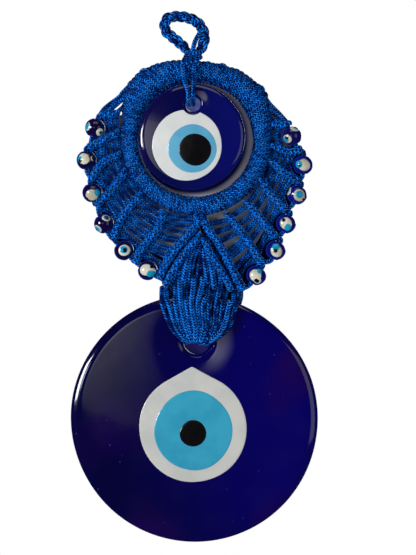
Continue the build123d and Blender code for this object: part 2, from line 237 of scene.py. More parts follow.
class Graph:
    """A node material under construction."""

    def __init__(self, name):
        self.material = bpy.data.materials.new(name)
        self.material.use_nodes = True
        self.tree = self.material.node_tree
        self.tree.nodes.clear()

    def add(self, kind, inputs=None, **settings):
        """A new node, with each input linked to a socket or set to a value."""
        node = self.tree.nodes.new(kind)
        for key, value in settings.items():
            setattr(node, key, value)
        for key, value in (inputs or {}).items():
            if isinstance(value, bpy.types.NodeSocket):
                self.tree.links.new(value, node.inputs[key])
            else:
                node.inputs[key].default_value = value
        return node

    def math(self, operation, a, b=0.0):
        """One step of arithmetic."""
        return self.add("ShaderNodeMath", {0: a, 1: b}, operation=operation).outputs[0]

    def plus(self, a, b):
        """Sum."""
        return self.math("ADD", a, b)

    def times(self, a, b):
        """Product."""
        return self.math("MULTIPLY", a, b)

    def span(self, value, low, high, to_low=0.0, to_high=1.0):
        """Smooth change from one value to another as the input goes from low to high."""
        node = self.add(
            "ShaderNodeMapRange",
            {"Value": value, "From Min": low, "From Max": high, "To Min": to_low, "To Max": to_high},
            interpolation_type="SMOOTHSTEP",
        )
        return node.outputs["Result"]

    def mix(self, factor, a, b):
        """Colour a, or b where the factor is 1."""
        return self.add("ShaderNodeMix", {0: factor, 6: a, 7: b}, data_type="RGBA").outputs[2]

    def hypot(self, a, b):
        """Distance from the middle."""
        squares = self.plus(self.math("POWER", a, 2.0), self.math("POWER", b, 2.0))
        return self.math("POWER", squares, 0.5)

    def split(self, vector):
        """The x, y and z of a vector."""
        return self.add("ShaderNodeSeparateXYZ", {0: vector}).outputs

    def place(self):
        """Position on the object, in metres."""
        return self.add("ShaderNodeTexCoord").outputs["Object"]

    def noise(self, scale, detail=3.0, rough=0.5, vector=None):
        """Cloudy noise about 0.5."""
        inputs = {"Scale": scale, "Detail": detail, "Roughness": rough, "Vector": vector or self.place()}
        return self.add("ShaderNodeTexNoise", inputs).outputs[0]

    def show(self, shader):
        """Ends the material with a shader's output."""
        self.add("ShaderNodeOutputMaterial", {"Surface": shader})
        return self.material

    def finish(self, inputs, height, strength, distance=0.0002):
        """Ends the material with a principled shader and a relief."""
        bump = self.add("ShaderNodeBump", {"Height": height, "Strength": strength, "Distance": distance})
        shader = self.add("ShaderNodeBsdfPrincipled", {**inputs, "Normal": bump.outputs[0]})
        return self.show(shader.outputs[0])


def cord_material(name, dark, middle, highlight):
    """Braided satin cord: chevron stitches, fibre streaks and a slow change of tone along each cord. Its
    colour holds painted light: the dark colour in the braid's valleys is painted shade, and the highlight
    colour on stitch tops and on random stitches is painted highlight.
    """
    g = Graph(name)
    uv = g.add("ShaderNodeUVMap", uv_map="braid").outputs[0]
    along, around, _ = g.split(uv)
    columns = g.times(around, float(BRAID_COLUMNS))
    fold = g.math("PINGPONG", columns, 1.0)
    phase = g.plus(g.times(along, 1 / BRAID_PITCH), g.times(fold, BRAID_SLANT))
    stitch = g.math("ABSOLUTE", g.math("SINE", g.times(phase, math.pi)))
    valley = g.math("ABSOLUTE", g.math("SINE", g.times(columns, math.pi)))
    height = g.times(g.math("POWER", stitch, 0.8), g.plus(0.72, g.times(valley, 0.28)))
    cell = g.add("ShaderNodeCombineXYZ", {0: g.math("FLOOR", phase), 1: g.math("FLOOR", columns)}).outputs[0]
    # Random stitches lifted towards the highlight colour: painted glints.
    painted_glint = g.add("ShaderNodeTexWhiteNoise", {"Vector": cell}, noise_dimensions="2D").outputs["Value"]
    stretch = g.add("ShaderNodeMapping", {"Vector": uv, "Scale": (3.0, 40.0, 1.0)}).outputs[0]
    fibre = g.noise(1.6, 2.0, 0.6, stretch)
    blotch = g.noise(150.0, 3.0, 0.6)
    tone = g.add("ShaderNodeAttribute", attribute_name="tone").outputs["Fac"]
    lift = g.plus(g.times(tone, 0.45), g.times(blotch, 0.4))
    lift = g.plus(lift, g.times(painted_glint, 0.6))
    # Brightness for the colour: low in the valleys between stitches as painted shade, high on the stitch tops
    # as painted highlight.
    face = g.times(g.math("POWER", height, 1.7), g.plus(0.3, lift))
    face = g.plus(face, g.times(g.math("SUBTRACT", fibre, 0.5), 0.2))
    colour = g.mix(g.span(face, 0.16, 0.56), srgb(*dark), srgb(*middle))
    colour = g.mix(g.span(face, 0.54, 1.04), colour, srgb(*highlight))
    relief = g.plus(height, g.times(fibre, 0.25))
    rough = g.span(fibre, 0.2, 0.8, 0.5, 0.7)
    return g.finish(
        {
            "Base Color": colour, "Roughness": rough, "Specular IOR Level": 0.25,
            "Specular Tint": (0.1, 0.35, 1.0, 1.0), "Sheen Weight": 0.12, "Sheen Roughness": 0.4,
            "Sheen Tint": (0.02, 0.2, 1.0, 1.0),
        },
        relief, 0.8, 0.00025,
    )


def glass_material(name, low, high, dark, light, shade, rim):
    """Deep blue poured glass: slow swirls and small bubbles, with painted light: a tint darker at x low and
    lighter towards x high, and rims that take a blue colour and a blue glow where the surface turns from
    view.
    """
    g = Graph(name)
    dark, light, shade, rim = (srgb(*colour) for colour in (dark, light, shade, rim))
    place = g.place()
    drift = g.times(g.math("SUBTRACT", g.noise(22.0), 0.5), 0.04)
    across = g.plus(g.split(place)[0], drift)
    # Painted shade: darker at x low, lighter towards x high.
    colour = g.mix(g.span(across, low, high), dark, light)
    colour = g.mix(g.span(g.noise(14.0, 2.0, 0.4), 0.48, 0.62, 0.0, 0.7), colour, shade)
    # Painted light: a blue rim colour and a blue glow at the rims.
    edge = g.add("ShaderNodeLayerWeight", {"Blend": 0.35}).outputs["Facing"]
    colour = g.mix(g.span(edge, 0.35, 1.0), colour, rim)
    bubbles = g.add("ShaderNodeTexVoronoi", {"Vector": place, "Scale": 130.0, "Randomness": 1.0})
    spot = g.span(bubbles.outputs["Distance"], 0.04, 0.08, 1.0, 0.0)
    colour = g.mix(g.times(spot, 0.25), colour, srgb(70, 80, 150))
    relief = g.plus(g.noise(30.0, 2.0), g.times(spot, 0.05))
    inputs = {
        "Base Color": colour, "Roughness": g.span(g.noise(60.0), 0.3, 0.8, 0.05, 0.14), "IOR": 1.5,
        "Coat Weight": 0.3, "Coat Roughness": 0.03, "Emission Color": rim,
        "Emission Strength": g.span(edge, 0.3, 0.9, 0.0, 0.35),
    }
    return g.finish(inputs, relief, 0.35, 0.0006)


def enamel_material(name, base, shade, rough=0.12):
    """Opaque coloured glass with faint swirls, specks and a glossy surface."""
    g = Graph(name)
    base, shade = srgb(*base), srgb(*shade)
    colour = g.mix(g.span(g.noise(70.0, 4.0, 0.6), 0.35, 0.75), base, shade)
    specks = g.add("ShaderNodeTexVoronoi", {"Vector": g.place(), "Scale": 420.0}).outputs["Distance"]
    colour = g.mix(g.times(g.span(specks, 0.04, 0.12, 1.0, 0.0), 0.35), colour, shade)
    roughness = g.span(g.noise(90.0), 0.3, 0.8, rough, rough + 0.12)
    inputs = {"Base Color": colour, "Roughness": roughness, "IOR": 1.5, "Coat Weight": 0.3}
    return g.finish({**inputs, "Coat Roughness": 0.04}, g.noise(45.0, 2.0), 0.25, 0.0004)


def steel_material():
    """Brushed steel of the ring's hidden core."""
    g = Graph("ring_steel")
    grain = g.noise(900.0, 2.0, 0.6)
    colour = g.mix(grain, srgb(120, 122, 126), srgb(160, 162, 166))
    roughness = g.span(grain, 0.2, 0.8, 0.3, 0.5)
    return g.finish({"Base Color": colour, "Metallic": 1.0, "Roughness": roughness}, grain, 0.2)


# Dark, middle and highlight colours of the cord: the dark one is painted shade and the highlight one painted
# highlight.
CORD = cord_material("blue_cord", (0, 0, 34), (0, 13, 88), (24, 138, 255))
# Each glass: the painted shade from x low to high with its dark and light tints, the swirl colour, and the
# rims' painted blue glow.
BIG_GLASS = glass_material("cobalt_glass", -0.05, 0.06, (2, 1, 50), (5, 0, 92), (26, 2, 74), (8, 10, 130))
SMALL_GLASS = glass_material(
    "cobalt_glass_small", -0.02, 0.03, (2, 6, 58), (8, 12, 98), (14, 6, 66), (10, 24, 190)
)
BIG_WHITE = enamel_material("white_glass", (197, 198, 194), (186, 188, 186))
SMALL_WHITE = enamel_material("white_glass_small", (214, 217, 216), (202, 207, 208))
BIG_IRIS = enamel_material("light_blue_glass", (52, 158, 190), (44, 146, 180))
SMALL_IRIS = enamel_material("light_blue_glass_small", (92, 168, 202), (80, 158, 196))
BLACK = enamel_material("black_glass", (8, 8, 11), (16, 16, 20), 0.05)
# Bead glass, with the same painted shade from left to right and painted glow at the rims.
BEAD_BLUE = glass_material("bead_cobalt", -0.06, 0.08, (4, 3, 44), (8, 16, 110), (16, 4, 60), (20, 50, 190))
BEAD_CREAM = enamel_material("bead_cream", (212, 210, 194), (150, 144, 118))
BEAD_TURQUOISE = enamel_material("bead_turquoise", (0, 150, 190), (0, 124, 170))
STEEL = steel_material()


# ---------------------------------------------------------------- cord-wrapped ring

WRAP_TURNS = 98
WRAP_STEPS = 68
WRAP_R = 1.25
WRAP_OVERLAP = 1.35
INNER_R = 32.0
SIDE_R = 43.0
WRAP_DEPTH = 4.05
PADDING_INSET = 2.1
# Outer radius of the wrapped ring at angles round it, wider at its top.
OUTER = [
    (-90, 43.0), (-20, 43.2), (10, 43.5), (25, 46.0), (33, 48.3), (60, 47.0), (68, 45.2), (90, 45.2),
    (100, 46.2), (110, 47.5), (120, 49.3), (135, 50.6), (148, 49.8), (156, 46.0), (165, 43.5), (180, 43.0),
    (270, 43.0),
]


def ring_outer(angle):
    """Outer radius of the wrapped ring at an angle in degrees."""
    a, r = zip(*OUTER)
    return np.interp((np.asarray(angle) + 90) % 360 - 90, a, r)


def wrap_point(angle_deg, phase, shrink):
    """Point on the oval round the ring's section at an angle round the ring and a phase round the section."""
    outer = ring_outer(angle_deg)
    middle = (outer + INNER_R) / 2
    half = (outer - INNER_R) / 2 - shrink
    lean = np.cos(phase)
    thinner = 1.2 * lean**2 * (outer - SIDE_R) / 8
    depth = np.where(lean > 0, WRAP_DEPTH - thinner, WRAP_DEPTH) - shrink + WRAP_R
    r = middle + half * np.sign(lean) * np.abs(lean) ** 0.85
    y = depth * np.sin(phase)
    a = np.radians(angle_deg)
    return np.stack([RING_X + r * np.cos(a), y, RING_Z + r * np.sin(a)], axis=-1), r


ring = Cords()
phase = np.linspace(0, 2 * np.pi * WRAP_TURNS, WRAP_TURNS * WRAP_STEPS)
whole_turns = np.arange(WRAP_TURNS + 1) * 2 * np.pi
angle = 90 + phase / (2 * np.pi) * 360 / WRAP_TURNS
jitter = np.interp(phase, whole_turns, rng.normal(0, 0.25, WRAP_TURNS + 1))
lump = np.interp(phase, whole_turns, rng.uniform(-0.25, 0.3, WRAP_TURNS + 1))
slant = 1.9 * np.cos(phase)
wrap_line, wrap_r = wrap_point(angle + jitter + slant, phase, WRAP_R - lump)
inside, _ = wrap_point(angle + jitter + slant, phase, WRAP_R + 2.0)
# The wrap's tone is painted shade: bright on the front and back of the ring's section, dark at its inner and
# outer edges.
ring.sweep(
    wrap_line, WRAP_R, side_radius=np.pi * wrap_r / WRAP_TURNS * WRAP_OVERLAP, sides=14,
    normals=wrap_line - inside, braid=0.19, tone=0.02 + 0.66 * np.abs(np.sin(phase)) ** 1.5, repeats=1.5,
)
ring.build("ring_wraps", "macrame", "ring_wrap", "ring_top_wrap")

# The padding fills the ring under its wrap, so nothing shows between two turns. It takes tone 0, the cord's
# darkest, as painted shade between the turns.
padding = Cords()
theta = np.linspace(0, 360, 180, endpoint=False)
section = np.linspace(0, 2 * np.pi, 24, endpoint=False)
grid = np.stack([wrap_point(theta, np.full_like(theta, s), PADDING_INSET)[0] for s in section], axis=1)
rows, sides = grid.shape[:2]
row, share = np.meshgrid(np.arange(float(rows)), np.arange(sides) / sides, indexing="ij")
padding.points.append(grid.reshape(-1, 3))
padding.faces.append(ring_faces(rows, sides, closed=True))
padding.uvs.append(np.repeat(np.stack([row, share], -1).reshape(-1, 1, 2), 4, axis=1))
padding.tones.append(np.zeros(rows * sides))
padding.build("ring_padding", "macrame")

core_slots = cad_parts["ring_core"].data.materials
core_slots.clear()
core_slots.append(STEEL)

# ---------------------------------------------------------------- ribs

RIBS = {
    "left": [
        [(-43.7, 14.7), (-54.4, 14.2)],
        [(-43.6, 4.1), (-52.0, 0.4), (-60.0, -4.2)],
        [(-42.6, -8.4), (-52.4, -12.6), (-59.2, -21.6)],
        [(-39.4, -17.2), (-47.0, -27.0), (-55.9, -36.5)],
        [(-30.6, -31.0), (-39.2, -40.2), (-43.6, -47.6), (-47.1, -55.6)],
        [(-18.2, -40.4), (-22.1, -51.1), (-27.8, -57.6), (-32.9, -64.7), (-34.3, -68.9)],
        [(0.6, -42.6), (0.6, -47.7), (-14.4, -65.7), (-20.8, -77.8)],
        [(2.9, -53.5), (-8.6, -67.4), (-17.9, -83.0)],
    ],
    "right": [
        [(43.4, 9.4), (48.0, 8.9), (52.6, 8.6)],
        [(43.4, -2.4), (51.8, -7.0), (59.0, -5.7)],
        [(42.4, -11.0), (48.0, -17.1), (57.8, -23.6)],
        [(37.2, -22.0), (42.1, -30.7), (50.7, -39.4)],
        [(28.6, -34.2), (35.6, -43.3), (44.1, -54.5)],
        [(17.4, -41.6), (25.7, -52.2), (31.8, -61.1), (36.5, -69.6)],
        [(4.0, -42.6), (5.8, -48.9), (13.4, -59.8), (20.3, -72.6), (26.1, -84.4)],
        [(4.7, -55.8), (8.7, -65.7), (16.3, -77.8), (20.0, -85.6)],
    ],
}
RIB_TURN = 2.3
RIB_Y = -1.9
FILLER_R = 1.5


def nearest(line, points):
    """For each point, the nearest point of a line."""
    gap = np.linalg.norm(points[:, None, :] - line[None, ::3, :], axis=2)
    return line[::3][gap.argmin(axis=1)]


def add_rib(cords, line):
    """Adds a bar of half hitches: a cord wound in slanted turns round a filler cord."""
    core = smooth([at(x, z, RIB_Y) for x, z in line], 0.2)
    tangent, n, b = frames(core)
    steps = np.linalg.norm(np.diff(core, axis=0), axis=1)
    length = np.concatenate([[0], np.cumsum(steps)])
    count = int(length[-1] / RIB_TURN) + 2
    knots = np.arange(count) * RIB_TURN
    spread = FILLER_R + np.interp(length, knots, rng.normal(0, 0.14, count))
    a = 2 * np.pi * length / RIB_TURN
    path = core + (np.cos(a) * spread)[:, None] * n + (np.sin(a) * spread)[:, None] * b
    path += tangent * (0.8 * np.cos(a + 0.7))[:, None]
    wound = even(path, 0.4)
    # The wound cord takes a high tone as painted light on the bar, and the filler within a low one as painted
    # shade.
    cords.sweep(wound, 1.05, side_radius=1.3, normals=wound - nearest(core, wound), braid=0.16, tone=0.85)
    cords.sweep(core[::2], FILLER_R, tone=0.2)


for side, ribs in RIBS.items():
    for number, line in enumerate(ribs, start=1):
        rib = Cords()
        add_rib(rib, line)
        rib.build(f"knotted_rib_{side}_{number}", "macrame", f"rib_{side}_{number}")


# ---------------------------------------------------------------- web cords between the ribs

def line_length(points):
    """Length of a line of layout points."""
    return sum(math.dist(a, b) for a, b in zip(points, points[1:]))


def point_along(points, fraction):
    """Layout point at a fraction of the length of a run of straight lines."""
    left = fraction * line_length(points)
    for a, b in zip(points, points[1:]):
        run = math.dist(a, b)
        if left <= run or b == points[-1]:
            share = left / run
            return (a[0] + (b[0] - a[0]) * share, a[1] + (b[1] - a[1]) * share)
        left -= run


BEADS = {
    "left": [(-57.3, 6.7), (-62.1, -11.5), (-58.8, -29.9), (-52.2, -47.5), (-40.8, -62.7), (-27.4, -74.0)],
    "right": [(54.4, 2.2), (60.7, -14.1), (57.3, -31.1), (51.0, -47.5), (45.2, -62.6), (34.2, -76.8)],
}
BEAD_R = 5.6
BEAD_HALF_LENGTH = 4.95
BEAD_HOLE_R = 2.0
BEAD_RUN = 6.6
CORD_CLEAR = BEAD_R + 4.85


def round_beads(side, line):
    """Moves the points of a cord that would cut a bead out to just clear of it."""
    for x, z in BEADS[side]:
        beyond = 1 + 3.0 / math.hypot(x, z)
        away = line - at(x * beyond, z * beyond)
        away[:, 1] = 0.0
        gap = np.linalg.norm(away, axis=1)
        push = np.clip(CORD_CLEAR / np.maximum(gap, 0.5), 1.0, None) - 1
        line = line + away * push[:, None]
    return line


# For each gap between two ribs: its number of cords, and the share of the ribs' length where they begin.
WEB_GAPS = {
    "left": [(6, 0.1), (7, 0.04), (8, 0.05), (10, 0.05), (11, 0.05), (14, 0.05)],
    "right": [(4, 0.1), (6, 0.06), (6, 0.06), (5, 0.1), (6, 0.1), (8, 0.12)],
}
WEB_GROUPS = {"upper": (0, 2), "middle": (2, 4), "lower": (4, 6)}
WEB_R = (1.4, 1.5)
FIRST_PAIRED = {"left": 6, "right": 3}
PAIR_R, PAIR_OFFSET = 0.92, 0.8


def web_line(a, b):
    """A web cord's line from rib to rib, bowed a little away from the ring and uneven in depth."""
    out = (a + b) / 2 - at(0, 0)
    out /= np.linalg.norm(out)
    bow = out * 0.015 * np.linalg.norm(b - a) + np.array([0, rng.normal(0, 0.25), 0])
    ahead = (b - a) * 0.12
    middle = (a + b) / 2 + bow + (0, 0.7, 0)
    return smooth([a, a + ahead + (0, 0.4, 0), middle, b - ahead + (0, 0.4, 0), b], CORD_STEP)


for side, ribs in RIBS.items():
    for group, (first, last) in WEB_GROUPS.items():
        web = Cords()
        for gap in range(first, last):
            count, start = WEB_GAPS[side][gap]
            pitch = line_length(ribs[gap]) * (1 - start) / (count - 1)
            radius = min(WEB_R[1], max(WEB_R[0], pitch * 0.5))
            for k in range(count):
                share = min(1.0, start + (1 - start) * k / (count - 1) + rng.normal(0, 0.01))
                a = at(*point_along(ribs[gap], share))
                b = at(*point_along(ribs[gap + 1], min(1, max(0, share + rng.normal(0, 0.02)))))
                line = web_line(a, b)
                # Web cords take low random tones: painted shade behind the ribs, with random variety.
                tone = rng.uniform(0.1, 0.55)
                if gap < FIRST_PAIRED[side]:
                    web.sweep(even(round_beads(side, line), CORD_STEP), radius, tone=tone)
                    continue
                apart = np.cross((b - a) / np.linalg.norm(b - a), (0, 1, 0)) * PAIR_OFFSET
                for shift in (-apart, apart):
                    web.sweep(even(round_beads(side, line + shift), CORD_STEP), PAIR_R, tone=tone)
        web.build(f"web_cords_{side}_{group}", "macrame", f"web_{side}_{group}")

# ---------------------------------------------------------------- edge cords and beads

EDGE_START = {
    "left": [(-29.5, 38.8), (-41.0, 27.4), (-43.4, 24.4), (-51.4, 18.2)],
    "right": [(38.0, 26.0), (41.6, 20.6), (47.4, 14.6)],
}
EDGE_INNER = {
    "left": [(-37.5, 27.5), (-43.0, 21.8), (-49.2, 16.8), (-53.0, 14.6)],
    "right": [(38.4, 22.0), (41.8, 17.6), (46.2, 12.6), (49.6, 10.4), (51.4, 9.0)],
}
# The eyes of each bead that face forward: degrees round the cord from the front (more is further left) and
# along it, size of the cream, then the same two shifts and size for the turquoise and for the pupil.
EYES = {
    "left": [
        [(52, 4, 0.85, (4, 0, 1.1), (6, -18, 0.9)), (-48, 18, 0.8, (-10, 0, 0.7), (0, 0, 0.8))],
        [(14, -8, 1.15, (24, 4, 0.9), (22, 12, 1.1)), (-46, -6, 0.5, (0, 0, 0.1), (-6, 0, 1.4))],
        [(2, 18, 1.2, (-36, -8, 1.0), (40, 10, 0.7))],
        [(56, 14, 0.85, (4, 0, 1.0), (10, 0, 0.9)), (-34, -24, 0.8, (0, 0, 0.8), (0, 0, 1.2))],
        [(-4, 2, 1.15, (0, -4, 1.15), (-2, 2, 1.3))],
        [(2, -12, 1.2, (4, 40, 1.1), (-34, 20, 0.9)), (-10, 34, 0.8, (8, 8, 0.9), (12, 20, 0.7))],
    ],
    "right": [
        [(42, 6, 0.9, (6, 0, 0.9), (-4, -6, 1.0)), (-40, -34, 0.8, (-12, 0, 0.8), (-10, 0, 0.6))],
        [(-4, 4, 1.2, (32, -2, 1.1), (30, 2, 1.0))],
        [(-14, 0, 1.2, (4, -4, 1.1), (-34, 12, 0.7)), (78, 0, 0.9, (0, 0, 0.9), (0, 0, 1.1))],
        [(2, 0, 1.2, (-20, 18, 1.05), (22, -12, 1.1))],
        [(-6, 4, 1.15, (16, -20, 1.15), (8, 0, 1.2))],
        [(6, 4, 1.2, (-6, -36, 0.8), (-22, 22, 1.1)), (-26, 22, 0.7, (0, 0, 0.1), (0, 4, 1.2))],
    ],
}
HIDDEN_EYES = [(150, 6, 1.0, (0, 0, 1.0), (0, 0, 1.0)), (-112, -8, 0.95, (0, 0, 1.0), (0, 0, 1.0))]


def rib_end(side, number):
    """Where a rib ends, counted from 0, as an array."""
    return np.array(RIBS[side][number][-1])


def bead_run(side, number):
    """The edge cord's run from a bead's middle to clear of it, towards the next rib's end."""
    along = rib_end(side, number + 1) - rib_end(side, number)
    return along / np.linalg.norm(along) * BEAD_RUN


EDGE_R = 1.42
for side, beads in BEADS.items():
    route = [at(*p) for p in EDGE_START[side]] + [at(*RIBS[side][0][-1])]
    for number, centre in enumerate(beads):
        along = bead_run(side, number)
        for place in (centre - along, centre, centre + along, rib_end(side, number + 1)):
            route.append(at(*place))
    edge = Cords()
    edge.cord(route, EDGE_R)
    inner = EDGE_INNER[side]
    edge.cord([at(*inner[0], 0.8)] + [at(*p) for p in inner[1:]])
    edge.cord([at(x * 0.985 + 0.2, z - 3.6, 1.4) for x, z in inner[:-1]])
    for number in range(1, 7):
        end = rib_end(side, number)
        ahead = end - RIBS[side][number][-2]
        ahead /= np.linalg.norm(ahead)
        cross = np.array([-ahead[1], ahead[0]])
        for lift in (-1.5, 0.1):
            loop = []
            for a in np.linspace(0, 2 * np.pi, 14):
                p = end + cross * (1.7 * math.cos(a)) + ahead * (lift + 0.4 * math.sin(a))
                loop.append(at(p[0], p[1], -1.8 * math.sin(a)))
            edge.cord(loop, 1.1, sides=10)
    edge.build(f"edge_cord_braid_{side}", "macrame", f"edge_cord_{side}")


def patch(centre_dir, up_dir, wide, tall, ball, raise_by, wobble):
    """Raised oval patch on a ball of that radius: a grid of points and faces, round the direction given."""
    c = centre_dir / np.linalg.norm(centre_dir)
    u = up_dir - c * (up_dir @ c)
    u /= np.linalg.norm(u)
    w = np.cross(u, c)
    sides, rows = 28, 7
    ripple = 1 + wobble * (np.sin(2 * np.linspace(0, 2 * np.pi, sides, endpoint=False) + wobble * 40))
    points = [c * (ball + raise_by)]
    for r in range(1, rows + 2):
        share = min(1.0, r / rows)
        lift = raise_by * math.sqrt(max(0.0, 1 - share**6)) if r <= rows else -0.5
        for s in range(sides):
            a = 2 * np.pi * s / sides
            d = c + u * math.tan(tall / ball * share) * math.cos(a) * ripple[s]
            d = d + w * math.tan(wide / ball * share) * math.sin(a) * ripple[s]
            points.append(d / np.linalg.norm(d) * (ball + lift))
    faces = [(0, 1 + s, 1 + (s + 1) % sides) for s in range(sides)]
    for r in range(rows):
        for s in range(sides):
            t = (s + 1) % sides
            a, b = 1 + r * sides, 1 + (r + 1) * sides
            faces.append((a + s, b + s, b + t, a + t))
    return np.array(points), faces


# Each layer of an eye: its material, half its width and height, how far it stands up and how uneven it is.
BEAD_LAYERS = {
    "cream": (BEAD_CREAM, 3.3, 3.0, 0.12, 0.07),
    "turquoise": (BEAD_TURQUOISE, 2.2, 2.1, 0.2, 0.06),
    "pupil": (BLACK, 1.15, 1.05, 0.27, 0.05),
}


def bead_profile():
    """Half outline of a drilled bead, as (distance from the axis, place along it)."""
    tip = math.asin(BEAD_HALF_LENGTH / BEAD_R)
    profile = []
    for t in np.linspace(0, 1, 21):
        a = tip * (2 * t - 1)
        profile.append((BEAD_R * math.cos(a) * (1 + 0.01 * math.sin(5 * t)), BEAD_R * math.sin(a)))
    mouth = BEAD_HALF_LENGTH - 0.1
    for h in (mouth, mouth - 0.6, 0.6 - mouth, -mouth):
        profile.append((BEAD_HOLE_R + 0.1 if abs(h) == mouth else BEAD_HOLE_R, h))
    return profile


def make_bead(side, number, centre, along):
    """A drilled glass bead with eyes round it."""
    axis = np.array([along[0], 0.0, along[1]])
    axis /= np.linalg.norm(axis)
    front = np.array([0.0, -1.0, 0.0])
    beside = np.cross(axis, front)
    middle = at(*centre)
    body = f"bead_{side}_{number}_body"
    profile, sides, rows = bead_profile(), 40, []
    for r, h in profile:
        for a in 2 * np.pi * np.arange(sides) / sides:
            rows.append(middle + axis * h + (front * math.cos(a) + beside * math.sin(a)) * r)
    faces = ring_faces(len(profile), sides, closed=True)
    ball = make_mesh(f"glass_bead_{side}_{number}", rows, faces, BEAD_BLUE)
    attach(ball, body)
    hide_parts(f"bead_{side}_{number}")
    for layer, (material, wide, tall, lift, wobble) in BEAD_LAYERS.items():
        verts, faces = [], []
        for turn, tilt, grow, iris, pupil in EYES[side][number - 1] + HIDDEN_EYES:
            if layer != "cream":
                more = iris if layer == "turquoise" else pupil
                turn, tilt, grow = turn + more[0], tilt + more[1], more[2]
            a, t = math.radians(turn), math.radians(tilt)
            out = (front * math.cos(a) + beside * math.sin(a)) * math.cos(t) + axis * math.sin(t)
            p, f = patch(out, axis, wide * grow, tall * grow, BEAD_R, lift, wobble)
            faces += [tuple(i + len(verts) for i in face) for face in f]
            verts += list(p + middle)
        piece = make_mesh(f"bead_{layer}_{side}_{number}", verts, faces, material)
        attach(piece, body)


for side, beads in BEADS.items():
    for number, centre in enumerate(beads):
        make_bead(side, number + 1, centre, rib_end(side, number + 1) - rib_end(side, number))


# ---------------------------------------------------------------- glass discs

def outline(radius, wobble, seed, sides):
    """Radius at each of the sides, with the slight unevenness of poured glass."""
    local = np.random.default_rng(seed)
    a = np.linspace(0, 2 * np.pi, sides, endpoint=False)
    r = np.full(sides, float(radius))
    for k in (2, 3, 4, 5, 7):
        r += wobble / k * local.normal() * np.cos(k * a + local.uniform(0, 2 * np.pi))
    return a, r


Disc = namedtuple("Disc", "name centre radius y crown edge back rim hole hole_r flare")
BIG = Disc("large", (-0.9, -157.9), 70.0, 0.0, crown=4.5, edge=3.2, back=4.5, rim=8.0, hole=(0.3, -114.0),
           hole_r=7.4, flare=13.0)
SMALL = Disc("small", (-2.3, 1.1), 29.8, -7.0, crown=3.1, edge=2.2, back=3.0, rim=4.5, hole=(-1.6, 19.4),
             hole_r=4.2, flare=6.0)


def dome_height(disc, x, z):
    """Front height of a slightly domed disc at layout points."""
    share = ((x - disc.centre[0]) ** 2 + (z - disc.centre[1]) ** 2) / disc.radius**2
    return disc.crown - (disc.crown - disc.edge) * np.clip(share, 0, 1.2)


def drilled_disc(disc, material, seed):
    """A poured glass disc with a drilled, fire-rounded hole: one closed skin."""
    sides = 256
    a, outer_r = outline(disc.radius, 0.18, seed, sides)
    ring_of = np.stack([np.cos(a), np.sin(a)], axis=1)
    inner = np.array(disc.hole) + disc.hole_r * ring_of
    span = np.array(disc.centre) + outer_r[:, None] * ring_of - inner
    reach = np.linalg.norm(span, axis=1)
    throat = disc.flare - disc.hole_r
    # Rows from the hole over the front, round the rim and back: distance from the hole's wall, and side.
    flat = np.linspace(0, 1, 48)[1:-1]
    rows = [(throat * (1 - math.cos(t)), math.sin(t)) for t in np.linspace(0, np.pi / 2, 14)]
    rows += [(throat + (reach - disc.rim - throat) * q, 1.0) for q in flat]
    rows += [(reach - disc.rim + disc.rim * math.sin(t), math.cos(t)) for t in np.linspace(0, np.pi, 40)]
    rows += [(throat + (reach - disc.rim - throat) * q, -1.0) for q in flat[::-1]]
    rows += [(throat * (1 - math.cos(t)), -math.sin(t)) for t in np.linspace(np.pi / 2, 0, 14)[:-1]]
    verts = []
    for away, side_lift in rows:
        p = inner + span * (away / reach)[:, None]
        near = np.hypot(p[:, 0] - disc.hole[0], p[:, 1] - disc.hole[1])
        dip = 0.1 * disc.flare * np.exp(-(((near - disc.hole_r) / (disc.flare * 0.75)) ** 2))
        front = dome_height(disc, p[:, 0], p[:, 1]) - dip
        depth = -side_lift * front if side_lift >= 0 else np.full(sides, -disc.back * side_lift)
        verts += [at(q[0], q[1], disc.y + d) for q, d in zip(p, depth)]
    faces = ring_faces(len(rows), sides, closed=True)[:, ::-1]
    return make_mesh(f"glass_{disc.name}", verts, faces, material)


def inlay(name, disc, edge_points, middle, lift, depth, soft, material):
    """A raised layer of glass inside a closed outline, rounded at its edge and following the disc's dome."""
    sides = len(edge_points)
    size = np.linalg.norm(edge_points - middle, axis=1).mean()
    shares = list(np.linspace(0.0, 1 - soft / size, 26))
    shares += [1 - soft / size * (1 - math.sin(t)) for t in np.linspace(0, np.pi / 2, 9)[1:]]
    verts = []
    for share in shares:
        p = middle + (edge_points - middle) * share
        inward = min(1.0, (1 - share) * size / soft)
        rise = lift * (1 - (1 - inward) ** 2) ** 0.5
        tops = dome_height(disc, p[:, 0], p[:, 1])
        verts += [at(q[0], q[1], disc.y - top - rise) for q, top in zip(p, tops)]
    tops = dome_height(disc, edge_points[:, 0], edge_points[:, 1])
    verts += [at(q[0], q[1], disc.y - top + depth) for q, top in zip(edge_points, tops)]
    # The first row is all one point, so it gives way to a fan round its first vertex.
    faces = (ring_faces(len(shares) + 1, sides)[sides:] - sides + 1).tolist()
    faces += [(1 + s, 1 + (s + 1) % sides, 0) for s in range(sides)]
    base = (len(shares) - 1) * sides + 1
    faces.append(tuple(range(base, base + sides))[::-1])
    return make_mesh(f"{name}_{disc.name}", verts[:1] + verts[sides:], faces, material)


def circle_outline(circle, wobble, seed, sides=160):
    """A slightly uneven circle, given as x, z and radius."""
    a, r = outline(circle[2], wobble, seed, sides)
    return np.stack([circle[0] + r * np.cos(a), circle[1] + r * np.sin(a)], axis=1)


